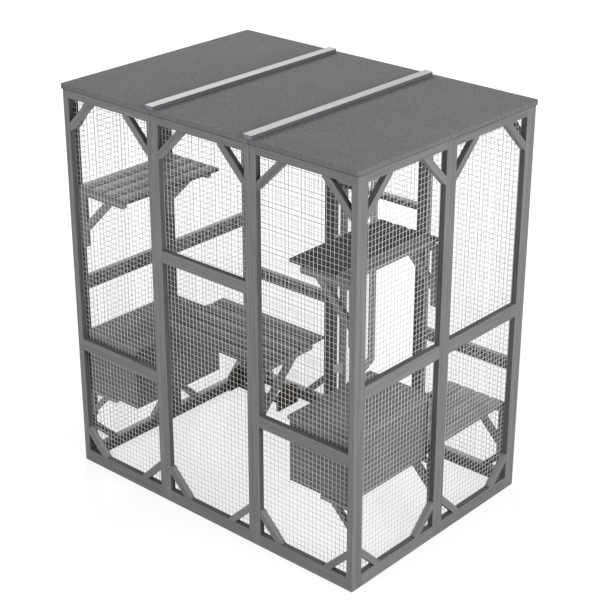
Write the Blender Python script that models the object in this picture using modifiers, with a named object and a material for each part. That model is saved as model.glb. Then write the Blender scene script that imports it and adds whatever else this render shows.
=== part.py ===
"""Outdoor walk-in cat enclosure of grey stained timber, wire net and roofing felt.

The row frame has its origin at the bottom centre of the part with its door open, +X to
the side with two bays, -Y to the long side with three bays, and +Z up. The walls are drawn
round the middle of the room, and the last step moves everything. All sizes are in metres.
"""

import math

import bmesh
import bpy
from mathutils import Matrix, Vector

COLLECTION = "outdoor_cat_enclosure"

# Overall sizes
WIDTH = 1.800
DEPTH = 1.262
WALL_HEIGHT = 1.9965
LONG_BAYS = 3
FIT = 0.0003
OVERRUN = 0.010
SINK = 0.001

# Wall frames; each share is a rail's lower edge as a part of the wall's height
TIMBER = 0.030
STILE = 0.035
LEAF_STILE = 0.037
BOTTOM_RAIL = 0.065
TOP_RAIL = 0.0395
LONG_RAIL_SHARE = 0.32206
LONG_RAIL = 0.060
MIDDLE_RAIL_SHARE = 0.64613
SIDE_RAIL_SHARE = 0.47934
SIDE_RAIL = 0.068
HEADER_SHARE = 0.66516
HEADER = 0.032
BRACE = 0.035
BRACE_NOSE = 0.010
BRACE_LEG_TOP = 0.170
BRACE_LEG_BOTTOM = 0.145

# Wire nets, drawn as wide strips that hold as much steel as the fine wires
NET = 0.002
NET_LAP = 0.004
NET_STRIP = 0.011
NET_COLUMN = 0.105
NET_ROW = 0.240

# Roof
ROOF = 0.026
ROOF_OVERHANG = 0.008
ROOF_CORNER = 0.012
BATTEN = 0.020
BATTEN_WIDTH = 0.048
BATTEN_BACK_INSET = 0.016
PROUD = 0.014

# Door leaf, hinges and bolt; the door stands open by this many degrees, as in the photo
DOOR_OPEN = 110
LEAF_GAP = 0.004
LEAF_RAIL = 0.032
HINGE_Z_SHARES = (0.154, 0.759)
HINGE_HEIGHT = 0.054
HINGE_PLATE = 0.0017
HINGE_PLATE_WIDTH = 0.025
KNUCKLE_RADIUS = 0.0035
PIN_RADIUS = 0.0015
BOLT_Z = 0.700
BOLT_RADIUS = 0.004
BOLT_WAY = 0.0095
BOLT_TRAVEL = 0.022
BOLT_LENGTH = 0.071
BOLT_REST_GAP = 0.002
BOLT_HANDLE = 0.024
BOLT_HANDLE_RADIUS = 0.003
GUIDE_LENGTH = 0.028
GUIDE_HEIGHT = 0.026
KEEPER_LENGTH = 0.022
KEEPER_SETBACK = 0.004

# Shelves and their brackets
SLAT_WIDTH = 0.078
SLAT_GAP = 0.010
SLAT = 0.018
ARM = 0.034
ARM_WIDTH = 0.024
ARM_LENGTH = 0.315
BRACKET_LEG = 0.265
BRACKET_WIDTH = 0.040
BRACKET_REACH = 0.227
BRACKET_SLOPE = 0.050
CORNER_SETBACK = 0.0040
POST_OFFSET = 0.018
SHELF_SETBACK = 0.004
UPPER_SHELF_Z = 1.518
UPPER_SHELF_END = 0.020
UPPER_RIGHT_SETBACK = 0.036
UPPER_SLATS = 4
FRONT_SHELF_Z = 0.938
FRONT_SHELF_OVERHANG = 0.027
FRONT_SLATS = 5
FRONT_ARM_LENGTH = 0.369
FRONT_BRACKET_REACH = 0.258
LOWER_SHELF_Z = 0.468
LOWER_SHELF_START = 0.004
LOWER_RIGHT_SETBACK = 0.020

# Cat houses
HOUSE_Z = 0.410
HOUSE_WIDTH = 0.340
HOUSE_HEIGHT = 0.315
HOUSE_WALL = 0.012
HOUSE_RIGHT_SETBACK = 0.040
HOUSE_BACK_GAP = 0.008
LID = 0.018
LID_OVERHANG = 0.015
LID_SIDE_GAP = 0.005
DOORWAY_WIDTH = 0.170
DOORWAY_HEIGHT = 0.210
DOORWAY_SILL = 0.030
HOUSE_ARM = 0.020
HOUSE_ARM_LENGTH = 0.190
HOUSE_LEG = 0.150
HOUSE_BRACKET_WIDTH = 0.024
HOUSE_BRACKET_REACH = 0.128
HOUSE_BRACKET_INNER_REACH = 0.092

# Low stand on the ground
STAND_LENGTH = 0.376
STAND_DEPTH = 0.170
STAND_HEIGHT = 0.133
STAND_EDGE_HEIGHT = 0.098
STAND_BOARD = 0.012
STAND_BACK_GAP = 0.030
STAND_RAIL = 0.022
STAND_RAIL_WIDTH = 0.026
STAND_CORNER = 0.025
STAND_FLAT_SHARE = 0.30

# Places worked out from the sizes above
HALF_WIDTH = WIDTH / 2
HALF_DEPTH = DEPTH / 2
INNER_X = HALF_WIDTH - TIMBER
INNER_Y = HALF_DEPTH - TIMBER
BAY = WIDTH / LONG_BAYS
SEAM_X = BAY / 2
NET_FACE = FIT + NET
LONG_RAIL_Z = WALL_HEIGHT * LONG_RAIL_SHARE
MIDDLE_RAIL_Z = WALL_HEIGHT * MIDDLE_RAIL_SHARE
SIDE_RAIL_Z = WALL_HEIGHT * SIDE_RAIL_SHARE
HEADER_Z = WALL_HEIGHT * HEADER_SHARE
CORNER_BRACKET_Y = -INNER_Y + CORNER_SETBACK + ARM_WIDTH / 2
MID_BRACKET_Y = -POST_OFFSET
OPENING_HALF = SEAM_X - FIT / 2 - STILE
LEAF_HALF = OPENING_HALF - LEAF_GAP
LEAF_BOTTOM = BOTTOM_RAIL + LEAF_GAP
LEAF_TOP = HEADER_Z - LEAF_GAP
HINGE_X = -OPENING_HALF + LEAF_GAP / 2
HINGE_Y = HALF_DEPTH + FIT + KNUCKLE_RADIUS
OPEN_SINE = math.sin(math.radians(DOOR_OPEN))
OPEN_COSINE = math.cos(math.radians(DOOR_OPEN))
DOOR_REACH = HINGE_Y + (LEAF_HALF - HINGE_X) * OPEN_SINE + (INNER_Y - HINGE_Y) * OPEN_COSINE
CENTRE_Y = (DOOR_REACH - HALF_DEPTH - PROUD) / 2
ROOF_Z = WALL_HEIGHT + FIT
STAND_LEFT = -INNER_X + NET_FACE + FIT
STAND_BACK = INNER_Y - STAND_BACK_GAP
UPPER_SIZES = (UPPER_SLATS, ARM_LENGTH, BRACKET_REACH)
FRONT_SIZES = (FRONT_SLATS, FRONT_ARM_LENGTH, FRONT_BRACKET_REACH)
ROUND_STEPS = 6
ROUND_SIDES = 24

TIMBER_GREY = (0.175, 0.182, 0.190, 1.0)
FELT_GREY = (0.150, 0.158, 0.164, 1.0)
BATTEN_GREY = (0.560, 0.565, 0.565, 1.0)
LID_GREY = (0.200, 0.202, 0.190, 1.0)
WIRE_GREY = (0.480, 0.490, 0.500, 1.0)
STEEL_GREY = (0.520, 0.530, 0.540, 1.0)
DARK_BROWN = (0.030, 0.022, 0.014, 1.0)
NEAR_BLACK = (0.012, 0.012, 0.013, 1.0)

TIMBER_ROUGH = 0.75
FELT_ROUGH = 0.95
METAL_ROUGH = 0.35


def clear_scene():
    """Removes every object and collection that the file opened with."""
    for item in list(bpy.data.objects):
        bpy.data.objects.remove(item, do_unlink=True)
    for group in list(bpy.data.collections):
        bpy.data.collections.remove(group)


def new_collection(name):
    """Adds a collection to the scene."""
    group = bpy.data.collections.new(name)
    bpy.context.scene.collection.children.link(group)
    return group


def new_material(name, colour, roughness, metallic=0.0):
    """Makes one Principled material."""
    material = bpy.data.materials.new(name)
    material.use_nodes = True
    shader = material.node_tree.nodes["Principled BSDF"]
    shader.inputs["Base Color"].default_value = colour
    shader.inputs["Roughness"].default_value = roughness
    shader.inputs["Metallic"].default_value = metallic
    return material


def finish(item, colour, roughness=TIMBER_ROUGH, metallic=0.0):
    """Gives an object a material of its own."""
    item.data.materials.append(new_material(item.name, colour, roughness, metallic))
    return item


def link(item, group=None):
    """Puts an object in the part's collection, or in another one."""
    (group or PARTS).objects.link(item)
    return item


def box(name, low, high, group=None):
    """A block between two corners."""
    mesh = bpy.data.meshes.new(name)
    shape = bmesh.new()
    bmesh.ops.create_cube(shape, size=1.0)
    size = Vector(high) - Vector(low)
    middle = (Vector(high) + Vector(low)) / 2
    bmesh.ops.scale(shape, vec=size, verts=shape.verts)
    shape.to_mesh(mesh)
    shape.free()
    item = bpy.data.objects.new(name, mesh)
    item.location = middle
    return link(item, group)


def rod(name, start, end, radius, group=None):
    """A round bar between two points."""
    start = Vector(start)
    run = Vector(end) - start
    mesh = bpy.data.meshes.new(name)
    shape = bmesh.new()
    bmesh.ops.create_cone(
        shape, cap_ends=True, segments=ROUND_SIDES, radius1=radius, radius2=radius, depth=run.length
    )
    turn = Vector((0, 0, 1)).rotation_difference(run).to_matrix().to_4x4()
    bmesh.ops.transform(shape, matrix=turn, verts=shape.verts)
    shape.to_mesh(mesh)
    shape.free()
    mesh.shade_smooth()
    mesh.set_sharp_from_angle(angle=math.radians(40))
    item = bpy.data.objects.new(name, mesh)
    item.location = start + run / 2
    return link(item, group)


def plate(name, outline, holes, thickness, matrix, group=None):
    """A flat outline with holes, made thick evenly to both sides of its own plane."""
    curve = bpy.data.curves.new(name, "CURVE")
    curve.dimensions = "2D"
    curve.fill_mode = "BOTH"
    curve.extrude = thickness / 2
    for loop in [outline, *holes]:
        spline = curve.splines.new("POLY")
        spline.points.add(len(loop) - 1)
        for point, (across, up) in zip(spline.points, loop):
            point.co = (across, up, 0, 1)
        spline.use_cyclic_u = True
    item = bpy.data.objects.new(name, curve)
    item.matrix_world = matrix
    return link(item, group)


def meshed(item):
    """Turns a curve object into a mesh object of the same name, place and material."""
    bpy.context.view_layer.update()
    graph = bpy.context.evaluated_depsgraph_get()
    name, matrix, groups = item.name, item.matrix_world.copy(), list(item.users_collection)
    mesh = bpy.data.meshes.new_from_object(item.evaluated_get(graph))
    curve = item.data
    bpy.data.objects.remove(item, do_unlink=True)
    bpy.data.curves.remove(curve)
    shape = bmesh.new()
    shape.from_mesh(mesh)
    bmesh.ops.remove_doubles(shape, verts=shape.verts, dist=FIT / 10)
    bmesh.ops.recalc_face_normals(shape, faces=shape.faces)
    shape.to_mesh(mesh)
    shape.free()
    mesh.name = name
    made = bpy.data.objects.new(name, mesh)
    made.matrix_world = matrix
    for group in groups:
        group.objects.link(made)
    return made


def boolean(item, tool, operation):
    """Joins a tool to an object, or cuts it out."""
    modifier = item.modifiers.new(operation.lower(), "BOOLEAN")
    modifier.operation = operation
    modifier.solver = "EXACT"
    modifier.object = tool
    tool.hide_render = True
    tool.display_type = "WIRE"
    return item


def rectangle(left, right, bottom, top):
    """Corners of a rectangle, in order."""
    return [(left, bottom), (right, bottom), (right, top), (left, top)]


def arc(centre, radius, start, end, steps=ROUND_STEPS):
    """Points along a round corner, angles in degrees."""
    angles = [math.radians(start + (end - start) * step / steps) for step in range(steps + 1)]
    return [(centre[0] + radius * math.cos(a), centre[1] + radius * math.sin(a)) for a in angles]


def rounded_rectangle(left, right, bottom, top, radii):
    """A rectangle whose corners, from bottom left round to top left, may be round."""
    corners = (
        (left, bottom, 1, 1, 180),
        (right, bottom, -1, 1, 270),
        (right, top, -1, -1, 0),
        (left, top, 1, -1, 90),
    )
    points = []
    for (x, y, to_x, to_y, start), radius in zip(corners, radii):
        if radius:
            points += arc((x + to_x * radius, y + to_y * radius), radius, start, start + 90)
        else:
            points.append((x, y))
    return points


def long_wall(y):
    """Plane of a wall along X: outline across is X, outline up is Z."""
    return Matrix.Translation((0, y, 0)) @ Matrix.Rotation(math.radians(90), 4, "X")


def side_wall(x):
    """Plane of a wall along Y: outline across is Y, outline up is Z."""
    turn = Matrix.Rotation(math.radians(90), 4, "Z")
    return Matrix.Translation((x, 0, 0)) @ turn @ Matrix.Rotation(math.radians(90), 4, "X")


def flat(z):
    """A level plane: outline across is X, outline up is Y."""
    return Matrix.Translation((0, 0, z))


def corner_triangle(x, z, to_x, to_z, leg):
    """Gap between a corner and its brace, when the brace's inner edge has this leg."""
    inner = leg - BRACE * math.sqrt(2)
    return [(x, z), (x + to_x * inner, z), (x, z + to_z * inner)]


def braced_cell(left, right, bottom, top, leg_bottom, leg_top):
    """Main gap of a cell and the small gaps behind its corner braces."""
    main = []
    triangles = []
    for x, z, to_x, to_z, leg, level_first in (
        (left, bottom, 1, 1, leg_bottom, False),
        (right, bottom, -1, 1, leg_bottom, True),
        (right, top, -1, -1, leg_top, False),
        (left, top, 1, -1, leg_top, True),
    ):
        if not leg:
            main.append((x, z))
            continue
        blunt = leg - BRACE_NOSE
        upper = [(x, z + to_z * blunt), (x + to_x * BRACE_NOSE, z + to_z * blunt)]
        lower = [(x + to_x * blunt, z + to_z * BRACE_NOSE), (x + to_x * blunt, z)]
        cut = upper + lower
        main += cut[::-1] if level_first else cut
        triangles.append(corner_triangle(x, z, to_x, to_z, leg))
    return [main, *triangles]


def frame_panel(name, matrix, left, right, stiles, rails, levels, legs):
    """A wall frame: two stiles, level rails and corner braces, flush with each other.

    rails holds the height span of each rail from the bottom up; levels is the
    bottom and top of the frame; legs is the brace leg at the bottom and at the top.
    """
    holes = []
    spans = list(zip(rails[:-1], rails[1:]))
    for place, (below, above) in enumerate(spans):
        leg_bottom = legs[0] if place == 0 else 0
        leg_top = legs[1] if place == len(spans) - 1 else 0
        cell = (left + stiles[0], right - stiles[1], below[1], above[0])
        holes += braced_cell(*cell, leg_bottom, leg_top)
    item = plate(name, rectangle(left, right, *levels), holes, TIMBER, matrix)
    return finish(item, TIMBER_GREY)


def strip_edges(start, end, gaps):
    """Where each strip begins and ends along a line with this many gaps."""
    step = (end - start - NET_STRIP) / gaps
    return [start + place * step + side for place in range(gaps + 1) for side in (0, NET_STRIP)]


def wire_net(name, matrix, left, right, bottom, top):
    """A flat net: a strip round the edge, and level and upright strips inside it."""
    across = strip_edges(left, right, round((right - left) / NET_COLUMN))
    up = strip_edges(bottom, top, round((top - bottom) / NET_ROW))
    mesh = bpy.data.meshes.new(name)
    shape = bmesh.new()
    points = [[shape.verts.new((x, z, 0)) for z in up] for x in across]
    for column in range(len(across) - 1):
        for row in range(len(up) - 1):
            if column % 2 and row % 2:
                continue
            first, second = points[column], points[column + 1]
            shape.faces.new((first[row], second[row], second[row + 1], first[row + 1]))
    shape.to_mesh(mesh)
    shape.free()
    item = link(bpy.data.objects.new(name, mesh))
    item.matrix_world = matrix
    thick = item.modifiers.new("thickness", "SOLIDIFY")
    thick.thickness = NET
    thick.offset = 0
    return finish(item, WIRE_GREY, METAL_ROUGH, 1.0)


def wall_panel(name, frame_at, net_at, left, right, mid_rail):
    """One fixed wall panel, which is a frame with a mid rail and a net behind it."""
    rails = ((0, BOTTOM_RAIL), mid_rail, (WALL_HEIGHT - TOP_RAIL, WALL_HEIGHT))
    stiles, legs = (STILE, STILE), (BRACE_LEG_BOTTOM, BRACE_LEG_TOP)
    frame_panel(name + "_frame", frame_at, left, right, stiles, rails, (0, WALL_HEIGHT), legs)
    net = (left + stiles[0] - NET_LAP, right - stiles[1] + NET_LAP)
    levels = (BOTTOM_RAIL - NET_LAP, WALL_HEIGHT - TOP_RAIL + NET_LAP)
    wire_net(name + "_net", net_at, *net, *levels)


def long_walls():
    """The front wall's three panels and the back wall's two fixed ones."""
    low = (LONG_RAIL_Z, LONG_RAIL_Z + LONG_RAIL)
    high = (MIDDLE_RAIL_Z, MIDDLE_RAIL_Z + LONG_RAIL)
    for wall, side in (("front", -1), ("back", 1)):
        frame_at = long_wall(side * (HALF_DEPTH - TIMBER / 2))
        net_at = long_wall(side * (INNER_Y - FIT - NET / 2))
        for place, bay in enumerate(("left", "middle", "right")):
            left = -HALF_WIDTH + place * BAY + (FIT / 2 if place else 0)
            right = -HALF_WIDTH + (place + 1) * BAY - (FIT / 2 if place < LONG_BAYS - 1 else 0)
            if bay != "middle":
                wall_panel(f"{wall}_{bay}_panel", frame_at, net_at, left, right, low)
            elif wall == "front":
                wall_panel("front_middle_panel", frame_at, net_at, left, right, high)
            else:
                door_surround(frame_at, net_at, left, right)


def side_walls():
    """Two panels in each side wall, between the front wall and the back wall."""
    rail = (SIDE_RAIL_Z, SIDE_RAIL_Z + SIDE_RAIL)
    for wall, side in (("left", -1), ("right", 1)):
        frame_at = side_wall(side * (HALF_WIDTH - TIMBER / 2))
        net_at = side_wall(side * (INNER_X - FIT - NET / 2))
        for bay, start, end in (
            ("front", -INNER_Y + FIT, -FIT / 2),
            ("back", FIT / 2, INNER_Y - FIT),
        ):
            wall_panel(f"{wall}_{bay}_panel", frame_at, net_at, start, end, rail)


def door_surround(frame_at, net_at, left, right):
    """The back wall's middle panel, with the doorway below a header and a net above it."""
    header = (HEADER_Z, HEADER_Z + HEADER)
    rails = ((0, BOTTOM_RAIL), header, (WALL_HEIGHT - TOP_RAIL, WALL_HEIGHT))
    stiles = (STILE, STILE)
    legs = (0, BRACE_LEG_TOP)
    levels = (0, WALL_HEIGHT)
    frame_panel("door_surround_frame", frame_at, left, right, stiles, rails, levels, legs)
    net = (left + STILE - NET_LAP, right - STILE + NET_LAP)
    wire_net("door_surround_net", net_at, *net, header[1] - NET_LAP, rails[2][0] + NET_LAP)


def door_leaf():
    """The hinged leaf: its frame and its net."""
    rails = ((LEAF_BOTTOM, LEAF_BOTTOM + LEAF_RAIL), (LEAF_TOP - LEAF_RAIL, LEAF_TOP))
    stiles = (LEAF_STILE, LEAF_STILE)
    frame_at = long_wall(HALF_DEPTH - TIMBER / 2)
    levels = (LEAF_BOTTOM, LEAF_TOP)
    span = (-LEAF_HALF, LEAF_HALF)
    HANGING.append(frame_panel("door_frame", frame_at, *span, stiles, rails, levels, (0, 0)))
    edge = LEAF_HALF - LEAF_STILE + NET_LAP
    net_at = long_wall(INNER_Y - FIT - NET / 2)
    levels = (rails[0][1] - NET_LAP, rails[1][0] + NET_LAP)
    HANGING.append(wire_net("door_net", net_at, -edge, edge, *levels))


def hinge_plate(name, left, levels, knuckles):
    """One plate of a butt hinge, with its knuckles round the pin's axis."""
    right = left + HINGE_PLATE
    low, high = levels
    item = box(name, (left, HALF_DEPTH - HINGE_PLATE_WIDTH, low), (right, HALF_DEPTH, high))
    for place, (start, end) in enumerate(knuckles):
        tab_low, tab_high = (left, HALF_DEPTH - SINK, start), (right, HINGE_Y, end)
        boolean(item, box(f"{name}_tab_{place}", tab_low, tab_high, TOOLS), "UNION")
        ring = (HINGE_X, HINGE_Y, start), (HINGE_X, HINGE_Y, end)
        boolean(item, rod(f"{name}_knuckle_{place}", *ring, KNUCKLE_RADIUS, TOOLS), "UNION")
    return item


def hinge(name, middle_z):
    """A butt hinge between jamb and leaf: a plate with the pin, and a plate that turns on it."""
    third = HINGE_HEIGHT / 3
    bottom, top = middle_z - HINGE_HEIGHT / 2, middle_z + HINGE_HEIGHT / 2
    outer = ((bottom, bottom + third - FIT), (top - third + FIT, top))
    fixed = hinge_plate(f"{name}_jamb_plate", -OPENING_HALF + FIT, (bottom, top), outer)
    pin_ends = (HINGE_X, HINGE_Y, bottom + SINK), (HINGE_X, HINGE_Y, top - SINK)
    boolean(fixed, rod(f"{name}_pin", *pin_ends, PIN_RADIUS, TOOLS), "UNION")
    finish(fixed, STEEL_GREY, METAL_ROUGH, 1.0)

    low, high = bottom + third + FIT, top - third - FIT
    leaf_side = -LEAF_HALF - FIT - HINGE_PLATE
    moving = hinge_plate(f"{name}_door_plate", leaf_side, (bottom, top), ((low, high),))
    bore_ends = (HINGE_X, HINGE_Y, low - OVERRUN), (HINGE_X, HINGE_Y, high + OVERRUN)
    boolean(moving, rod(f"{name}_bore", *bore_ends, PIN_RADIUS + FIT, TOOLS), "DIFFERENCE")
    finish(moving, STEEL_GREY, METAL_ROUGH, 1.0)
    HANGING.append(moving)


def bored_block(name, low, high, bolt_y):
    """A block with a square way through it along X for the bolt."""
    block = box(name, low, high)
    half = BOLT_WAY / 2
    start = (low[0] - OVERRUN, bolt_y - half, BOLT_Z - half)
    end = (high[0] + OVERRUN, bolt_y + half, BOLT_Z + half)
    boolean(block, box(name + "_way", start, end, TOOLS), "DIFFERENCE")
    return finish(block, STEEL_GREY, METAL_ROUGH, 1.0)


def bolt_set():
    """A sliding bolt in its guide on the leaf, and its keeper on the jamb."""
    near = HALF_DEPTH + FIT
    far = HALF_DEPTH + PROUD
    bolt_y = (near + far) / 2
    low_z, high_z = BOLT_Z - GUIDE_HEIGHT / 2, BOLT_Z + GUIDE_HEIGHT / 2
    guide_right = LEAF_HALF - KEEPER_SETBACK
    guide_left = guide_right - GUIDE_LENGTH
    guide_ends = (guide_left, near, low_z), (guide_right, far, high_z)
    HANGING.append(bored_block("bolt_guide", *guide_ends, bolt_y))
    keeper_left = OPENING_HALF + KEEPER_SETBACK
    keeper_right = keeper_left + KEEPER_LENGTH
    bored_block("bolt_keeper", (keeper_left, near, low_z), (keeper_right, far, high_z), bolt_y)
    end = guide_right + BOLT_REST_GAP
    start = end - BOLT_LENGTH
    bolt = rod("bolt", (start, bolt_y, BOLT_Z), (end, bolt_y, BOLT_Z), BOLT_RADIUS)
    handle_x = guide_left - BOLT_TRAVEL - BOLT_HANDLE_RADIUS - BOLT_REST_GAP
    ends = (handle_x, bolt_y, BOLT_Z), (handle_x, bolt_y, BOLT_Z - BOLT_HANDLE)
    boolean(bolt, rod("bolt_handle", *ends, BOLT_HANDLE_RADIUS, TOOLS), "UNION")
    HANGING.append(finish(bolt, STEEL_GREY, METAL_ROUGH, 1.0))


def hang_door():
    """Parents all that swings with the door to an empty on the hinges' axis, and opens it."""
    axis = link(bpy.data.objects.new("door_axis", None))
    axis.location = (HINGE_X, HINGE_Y, 0)
    bpy.context.view_layer.update()
    to_axis = axis.matrix_world.inverted()
    for item in HANGING:
        cutters = [modifier.object for modifier in item.modifiers if modifier.type == "BOOLEAN"]
        for piece in [item, *cutters]:
            piece.parent = axis
            piece.matrix_parent_inverse = to_axis
    axis.rotation_euler.z = math.radians(DOOR_OPEN)


def centre_part():
    """Moves everything so that the middle of the part's box stands over the origin."""
    for item in [*PARTS.objects, *TOOLS.objects]:
        if not item.parent:
            item.location.y -= CENTRE_Y


def roof():
    """Three felted roof panels side by side and the battens over their seams."""
    edge_y = HALF_DEPTH + ROOF_OVERHANG
    top = ROOF_Z + ROOF
    for place, bay in enumerate(("left", "middle", "right")):
        first, last = place == 0, place == LONG_BAYS - 1
        left = -HALF_WIDTH - ROOF_OVERHANG if first else -HALF_WIDTH + place * BAY + FIT / 2
        right = HALF_WIDTH + ROOF_OVERHANG if last else -HALF_WIDTH + (place + 1) * BAY - FIT / 2
        left_radius = ROOF_CORNER if first else 0
        right_radius = ROOF_CORNER if last else 0
        radii = (left_radius, right_radius, right_radius, left_radius)
        outline = rounded_rectangle(left, right, -edge_y, edge_y, radii)
        panel = plate(f"roof_panel_{bay}", outline, [], ROOF, flat(ROOF_Z + ROOF / 2))
        finish(panel, FELT_GREY, FELT_ROUGH)
    for side, name in ((-1, "left"), (1, "right")):
        middle = side * SEAM_X
        low = (middle - BATTEN_WIDTH / 2, -HALF_DEPTH - PROUD, top + FIT)
        high = (middle + BATTEN_WIDTH / 2, HALF_DEPTH - BATTEN_BACK_INSET, top + FIT + BATTEN)
        finish(box(f"roof_batten_{name}", low, high), BATTEN_GREY)


def room_place(wall, depth, along):
    """X and Y of a place that lies a depth into the room from a wall's inner face."""
    if wall == "left":
        return -INNER_X + depth, along
    if wall == "right":
        return INNER_X - depth, along
    return along, -INNER_Y + depth


def room_box(name, wall, depths, alongs, levels, group=None):
    """A block given by its depths from a wall, its span along the wall and its levels."""
    a = room_place(wall, depths[0], alongs[0])
    b = room_place(wall, depths[1], alongs[1])
    low = (min(a[0], b[0]), min(a[1], b[1]), levels[0])
    high = (max(a[0], b[0]), max(a[1], b[1]), levels[1])
    return box(name, low, high, group)


def bracket_plane(wall, along):
    """Plane square to a wall: outline across runs into the room, outline up is Z."""
    x, y = room_place(wall, 0, along)
    turns = {"left": 0, "right": 180, "front": 90}
    turn = Matrix.Rotation(math.radians(turns[wall]), 4, "Z")
    return Matrix.Translation((x, y, 0)) @ turn @ Matrix.Rotation(math.radians(90), 4, "X")


def shelf_bracket(name, wall, along, top, reach):
    """An upright leg on the wall with a diagonal that carries the arm above it."""
    width, leg = BRACKET_WIDTH, BRACKET_LEG
    inner_reach = reach - BRACKET_SLOPE
    high = top - FIT
    outline = [
        (FIT, high),
        (width, high),
        (width, high - inner_reach + width),
        (inner_reach, high),
        (reach, high),
        (width, high - reach + width),
        (width, high - leg),
        (FIT, high - leg),
    ]
    return finish(plate(name, outline, [], ARM_WIDTH, bracket_plane(wall, along)), TIMBER_GREY)


def shelf(name, wall, top, places, span, setback, sizes=UPPER_SIZES):
    """A slatted shelf: slats nailed on two arms, each arm carried by a bracket.

    sizes holds the number of slats, the length of the arms and the reach of the brackets.
    """
    slats, arm, reach = sizes
    arm_top = top - SLAT
    levels = (arm_top - ARM, arm_top + SINK)
    sides = [(place - ARM_WIDTH / 2, place + ARM_WIDTH / 2) for place in places]
    deck = room_box(f"{name}_deck", wall, (FIT, arm), sides[0], levels)
    other = room_box(f"{name}_arm", wall, (FIT, arm), sides[1], levels, TOOLS)
    boolean(deck, other, "UNION")
    for number in range(slats):
        start = setback + number * (SLAT_WIDTH + SLAT_GAP)
        depths = (start, start + SLAT_WIDTH)
        slat = room_box(f"{name}_slat_{number}", wall, depths, span, (arm_top, top), TOOLS)
        boolean(deck, slat, "UNION")
    finish(deck, TIMBER_GREY)
    for label, place in zip(("near", "far"), places):
        shelf_bracket(f"{name}_bracket_{label}", wall, place, arm_top - ARM, reach)


def shelves():
    """The four slatted shelves."""
    upper_places = (CORNER_BRACKET_Y, MID_BRACKET_Y)
    upper_span = (-INNER_Y + CORNER_SETBACK, UPPER_SHELF_END)
    shelf("upper_left_shelf", "left", UPPER_SHELF_Z, upper_places, upper_span, SHELF_SETBACK)
    shelf("upper_right_shelf", "right", UPPER_SHELF_Z, upper_places, upper_span, UPPER_RIGHT_SETBACK)
    lower_places = (LOWER_SHELF_START + ARM_WIDTH / 2, -CORNER_BRACKET_Y)
    lower_span = (LOWER_SHELF_START, INNER_Y - CORNER_SETBACK)
    shelf("lower_right_shelf", "right", LOWER_SHELF_Z, lower_places, lower_span, LOWER_RIGHT_SETBACK)
    half = SEAM_X + FRONT_SHELF_OVERHANG
    ends = (-half, half)
    places = (-SEAM_X, SEAM_X)
    shelf("front_shelf", "front", FRONT_SHELF_Z, places, ends, SHELF_SETBACK, FRONT_SIZES)


def house_bracket(name, wall, along):
    """A small one-piece bracket under a cat house: leg, arm and diagonal."""
    width = HOUSE_BRACKET_WIDTH
    top = HOUSE_Z - FIT
    under = top - HOUSE_ARM
    reach, inner = HOUSE_BRACKET_REACH, HOUSE_BRACKET_INNER_REACH
    outline = [
        (FIT, top),
        (HOUSE_ARM_LENGTH, top),
        (HOUSE_ARM_LENGTH, under),
        (reach, under),
        (width, under - reach + width),
        (width, top - HOUSE_LEG),
        (FIT, top - HOUSE_LEG),
    ]
    gap = [(width, under), (inner, under), (width, under - inner + width)]
    return finish(plate(name, outline, [gap], ARM_WIDTH, bracket_plane(wall, along)), TIMBER_GREY)


def cat_house(name, wall, setback):
    """A cat house: a box with a doorway to the back, a lid and two brackets."""
    front, back = -INNER_Y + CORNER_SETBACK + HOUSE_WALL / 2, -HOUSE_BACK_GAP
    bottom, top = HOUSE_Z, HOUSE_Z + HOUSE_HEIGHT
    depths = (setback, setback + HOUSE_WIDTH)
    body = room_box(f"{name}_box", wall, depths, (front, back), (bottom, top))
    inside_depths = (depths[0] + HOUSE_WALL, depths[1] - HOUSE_WALL)
    inside_span = (front + HOUSE_WALL, back - HOUSE_WALL)
    inside_levels = (bottom + HOUSE_WALL, top + OVERRUN)
    inside = room_box(f"{name}_room", wall, inside_depths, inside_span, inside_levels, TOOLS)
    boolean(body, inside, "DIFFERENCE")
    middle = room_place(wall, sum(depths) / 2, 0)[0]
    sill = bottom + DOORWAY_SILL
    edges = (middle - DOORWAY_WIDTH / 2, middle + DOORWAY_WIDTH / 2, sill, sill + DOORWAY_HEIGHT)
    radius = DOORWAY_WIDTH / 2
    outline = rounded_rectangle(*edges, (0, 0, radius - FIT, radius - FIT))
    cut_plane = long_wall(back - HOUSE_WALL / 2)
    cutter = meshed(plate(f"{name}_doorway", outline, [], HOUSE_WALL + OVERRUN, cut_plane, TOOLS))
    boolean(body, cutter, "DIFFERENCE")
    finish(body, TIMBER_GREY)
    lid_depths = (max(SHELF_SETBACK, depths[0] - LID_OVERHANG), depths[1] + LID_OVERHANG)
    lid_span = (front - LID_SIDE_GAP / 2, -HOUSE_BACK_GAP + LID_SIDE_GAP)
    lid_levels = (top + FIT, top + FIT + LID)
    finish(room_box(f"{name}_lid", wall, lid_depths, lid_span, lid_levels), LID_GREY)
    house_bracket(f"{name}_bracket_near", wall, CORNER_BRACKET_Y)
    house_bracket(f"{name}_bracket_far", wall, MID_BRACKET_Y)


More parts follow.
